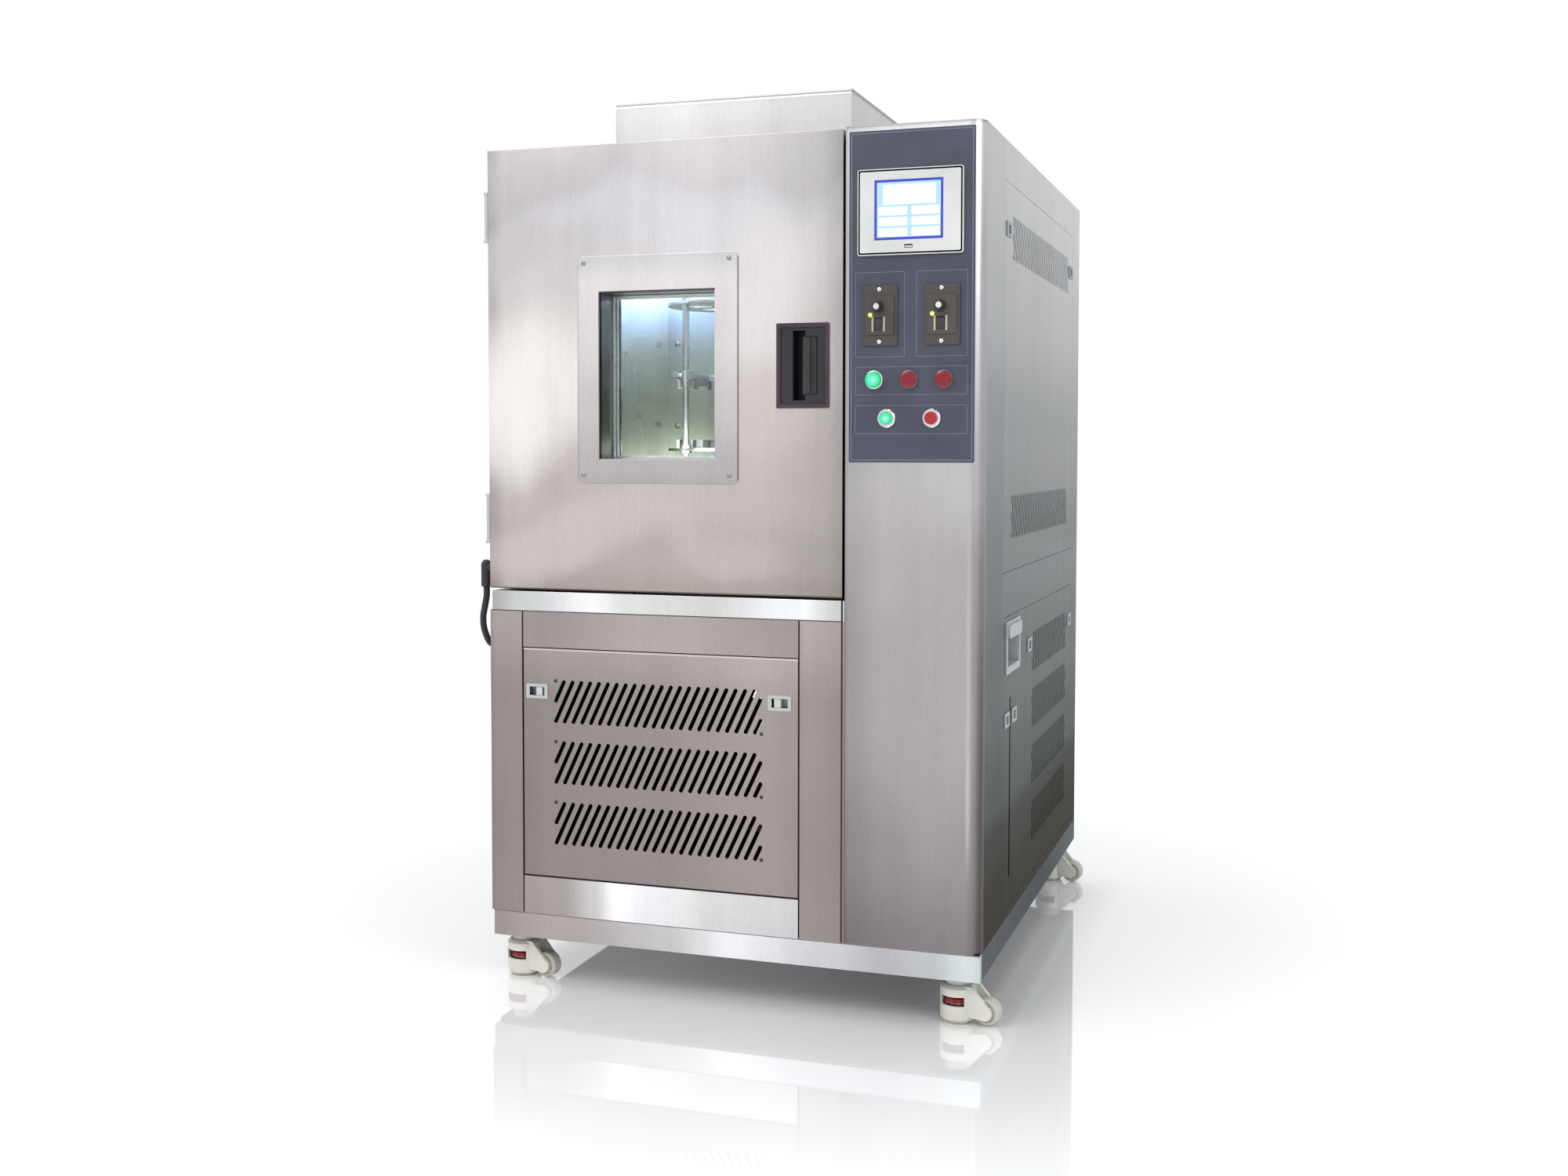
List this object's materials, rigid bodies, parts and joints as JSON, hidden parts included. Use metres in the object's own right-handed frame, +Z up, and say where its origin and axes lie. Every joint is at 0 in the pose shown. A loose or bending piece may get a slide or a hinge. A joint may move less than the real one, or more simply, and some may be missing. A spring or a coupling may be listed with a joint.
{
  "type": "ozone aging test chamber",
  "caption": "Floor-standing aging test chamber with a windowed door, a rotating and stretching specimen rack, and a control column on levelling casters.",
  "frame": {"origin": "centre of the footprint on the floor", "axes": "+Z up, -Y towards the user (door side), +X to the user's right (control column side)"},
  "size_m": [0.9108, 1.053, 1.496],
  "materials": {
    "brushed_steel": "brushed",
    "bright_steel": "polished",
    "insulation": "soft board",
    "machine_paint": "satin",
    "panel_blue": "satin",
    "bezel_grey": "matte",
    "charcoal_plastic": "matte",
    "lamp_lens": "glossy",
    "chrome": "polished",
    "green_cap": "glossy",
    "red_cap": "glossy",
    "electric_grey": "matte",
    "black_rubber": "matte",
    "latch_grey": "matte",
    "white_plastic": "satin",
    "clear_glass": "polished",
    "plum_frame": "satin",
    "pale_rubber": "matte",
    "ivory_plastic": "satin",
    "dark_wheel": "satin",
    "red_dial": "satin"
  },
  "bodies": {
    "cabinet": {"lower_front_frame": "brushed_steel", "carcass": "brushed_steel", "right_side_frame": "brushed_steel", "rear_panel": "brushed_steel", "control_column": "brushed_steel", "upper_side_panel": "brushed_steel", "lower_side_panel": "brushed_steel", "water_panel": "brushed_steel", "base_frame": "bright_steel", "chamber_liner": "bright_steel", "air_baffle": "bright_steel", "motor_box": "bright_steel", "chamber_insulation": "insulation", "drive_motors": "machine_paint", "condensing_unit": "machine_paint", "control_panel": "panel_blue", "touch_screen": "bezel_grey", "speed_controllers": "charcoal_plastic", "pilot_lamps": "lamp_lens", "button_rings": "chrome", "hinge_bases": "chrome", "electrics": "electric_grey", "lead_gland": "black_rubber", "door_lead": "black_rubber", "side_panel_latches": "latch_grey", "water_filler": "white_plastic"},
    "door": {"door_skin": "brushed_steel", "door_liner": "bright_steel", "window_frame": "bright_steel", "window_glass": "clear_glass", "latch_housing": "plum_frame", "hinge_leaves": "chrome", "door_gasket": "pale_rubber", "lead_boot": "black_rubber"},
    "paddle": {"latch_paddle": "charcoal_plastic"},
    "turntable_knob": {"turntable_knob": "charcoal_plastic"},
    "stretch_knob": {"stretch_knob": "charcoal_plastic"},
    "turntable_switch": {"turntable_switch": "charcoal_plastic"},
    "stretch_switch": {"stretch_switch": "charcoal_plastic"},
    "start_button": {"start_button": "green_cap"},
    "stop_button": {"stop_button": "red_cap"},
    "grille": {"front_grille": "brushed_steel"},
    "grille_latch_left": {"grille_latch_left": "latch_grey"},
    "grille_latch_right": {"grille_latch_right": "latch_grey"},
    "rack": {"rack_frame": "chrome"},
    "carrier": {"clamp_carrier": "chrome"},
    "circulation_fan": {"circulation_fan": "bright_steel"},
    "condenser_fan": {"condenser_fan": "electric_grey"},
    "caster_front_left": {"caster_housing_front_left": "ivory_plastic"},
    "wheel_front_left": {"caster_wheel_front_left": "dark_wheel"},
    "foot_front_left": {"levelling_foot_front_left": "red_dial"},
    "caster_front_right": {"caster_housing_front_right": "ivory_plastic"},
    "wheel_front_right": {"caster_wheel_front_right": "dark_wheel"},
    "foot_front_right": {"levelling_foot_front_right": "red_dial"},
    "caster_rear_left": {"caster_housing_rear_left": "ivory_plastic"},
    "wheel_rear_left": {"caster_wheel_rear_left": "dark_wheel"},
    "foot_rear_left": {"levelling_foot_rear_left": "red_dial"},
    "caster_rear_right": {"caster_housing_rear_right": "ivory_plastic"},
    "wheel_rear_right": {"caster_wheel_rear_right": "dark_wheel"},
    "foot_rear_right": {"levelling_foot_rear_right": "red_dial"}
  },
  "joints": [
    {"name": "door_hinge", "type": "hinge", "parent": "cabinet", "child": "door", "pos_m": [-0.43635, -0.4975, 1.038], "axis": [0, 0, -1], "range_deg": [0, 110]},
    {"name": "handle_pull", "type": "hinge", "parent": "door", "child": "paddle", "pos_m": [0.14505, -0.5005, 1.039], "axis": [0, 0, 1], "range_deg": [0, 35], "stiffness_Nm_per_rad": 0.6},
    {"name": "turntable_speed", "type": "hinge", "parent": "cabinet", "child": "turntable_knob", "pos_m": [0.2496, -0.5225, 1.1275], "axis": [0, 1, 0], "range_deg": [0, 270]},
    {"name": "stretch_speed", "type": "hinge", "parent": "cabinet", "child": "stretch_knob", "pos_m": [0.3482, -0.5225, 1.1275], "axis": [0, 1, 0], "range_deg": [0, 270]},
    {"name": "turntable_rocker", "type": "hinge", "parent": "cabinet", "child": "turntable_switch", "pos_m": [0.2503, -0.5115, 1.1008], "axis": [-1, 0, 0], "range_deg": [0, 20]},
    {"name": "stretch_rocker", "type": "hinge", "parent": "cabinet", "child": "stretch_switch", "pos_m": [0.3489, -0.5115, 1.1008], "axis": [-1, 0, 0], "range_deg": [0, 20]},
    {"name": "start_press", "type": "slide", "parent": "cabinet", "child": "start_button", "axis": [0, 1, 0], "range_m": [0, 0.003], "stiffness_N_per_m": 400},
    {"name": "stop_press", "type": "slide", "parent": "cabinet", "child": "stop_button", "axis": [0, 1, 0], "range_m": [0, 0.003], "stiffness_N_per_m": 400},
    {"name": "grille_pull", "type": "slide", "parent": "cabinet", "child": "grille", "axis": [0, -1, 0], "range_m": [0, 0.06]},
    {"name": "left_catch_slide", "type": "slide", "parent": "grille", "child": "grille_latch_left", "axis": [-1, 0, 0], "range_m": [0, 0.008]},
    {"name": "right_catch_slide", "type": "slide", "parent": "grille", "child": "grille_latch_right", "axis": [1, 0, 0], "range_m": [0, 0.008]},
    {"name": "rack_turn", "type": "hinge", "parent": "cabinet", "child": "rack", "pos_m": [-0.11405, -0.1675, 1.028], "axis": [0, 0, 1], "continuous": true},
    {"name": "carrier_slide", "type": "slide", "parent": "rack", "child": "carrier", "axis": [0, 0, 1], "range_m": [-0.085, 0.11]},
    {"name": "circulation_fan_turn", "type": "hinge", "parent": "cabinet", "child": "circulation_fan", "pos_m": [-0.11405, 0.1525, 1.0345], "axis": [0, 1, 0], "continuous": true},
    {"name": "condenser_fan_turn", "type": "hinge", "parent": "cabinet", "child": "condenser_fan", "pos_m": [0.33195, 0.1275, 0.3206], "axis": [1, 0, 0], "continuous": true},
    {"name": "swivel_front_left", "type": "hinge", "parent": "cabinet", "child": "caster_front_left", "pos_m": [-0.39405, -0.4585, 0.048], "axis": [0, 0, 1], "continuous": true},
    {"name": "roll_front_left", "type": "hinge", "parent": "caster_front_left", "child": "wheel_front_left", "pos_m": [-0.34481, -0.46718, 0.023], "axis": [0.1736, 0.9848, 0], "continuous": true},
    {"name": "level_front_left", "type": "slide", "parent": "cabinet", "child": "foot_front_left", "axis": [0, 0, 1], "range_m": [0, 0.006]},
    {"name": "swivel_front_right", "type": "hinge", "parent": "cabinet", "child": "caster_front_right", "pos_m": [0.37095, -0.4585, 0.048], "axis": [0, 0, 1], "continuous": true},
    {"name": "roll_front_right", "type": "hinge", "parent": "caster_front_right", "child": "wheel_front_right", "pos_m": [0.42019, -0.46718, 0.023], "axis": [0.1736, 0.9848, 0], "continuous": true},
    {"name": "level_front_right", "type": "slide", "parent": "cabinet", "child": "foot_front_right", "axis": [0, 0, 1], "range_m": [0, 0.006]},
    {"name": "swivel_rear_left", "type": "hinge", "parent": "cabinet", "child": "caster_rear_left", "pos_m": [-0.39405, 0.4555, 0.048], "axis": [0, 0, 1], "continuous": true},
    {"name": "roll_rear_left", "type": "hinge", "parent": "caster_rear_left", "child": "wheel_rear_left", "pos_m": [-0.34481, 0.44682, 0.023], "axis": [0.1736, 0.9848, 0], "continuous": true},
    {"name": "level_rear_left", "type": "slide", "parent": "cabinet", "child": "foot_rear_left", "axis": [0, 0, 1], "range_m": [0, 0.006]},
    {"name": "swivel_rear_right", "type": "hinge", "parent": "cabinet", "child": "caster_rear_right", "pos_m": [0.37095, 0.4555, 0.048], "axis": [0, 0, 1], "continuous": true},
    {"name": "roll_rear_right", "type": "hinge", "parent": "caster_rear_right", "child": "wheel_rear_right", "pos_m": [0.42019, 0.44682, 0.023], "axis": [0.1736, 0.9848, 0], "continuous": true},
    {"name": "level_rear_right", "type": "slide", "parent": "cabinet", "child": "foot_rear_right", "axis": [0, 0, 1], "range_m": [0, 0.006]}
  ]
}
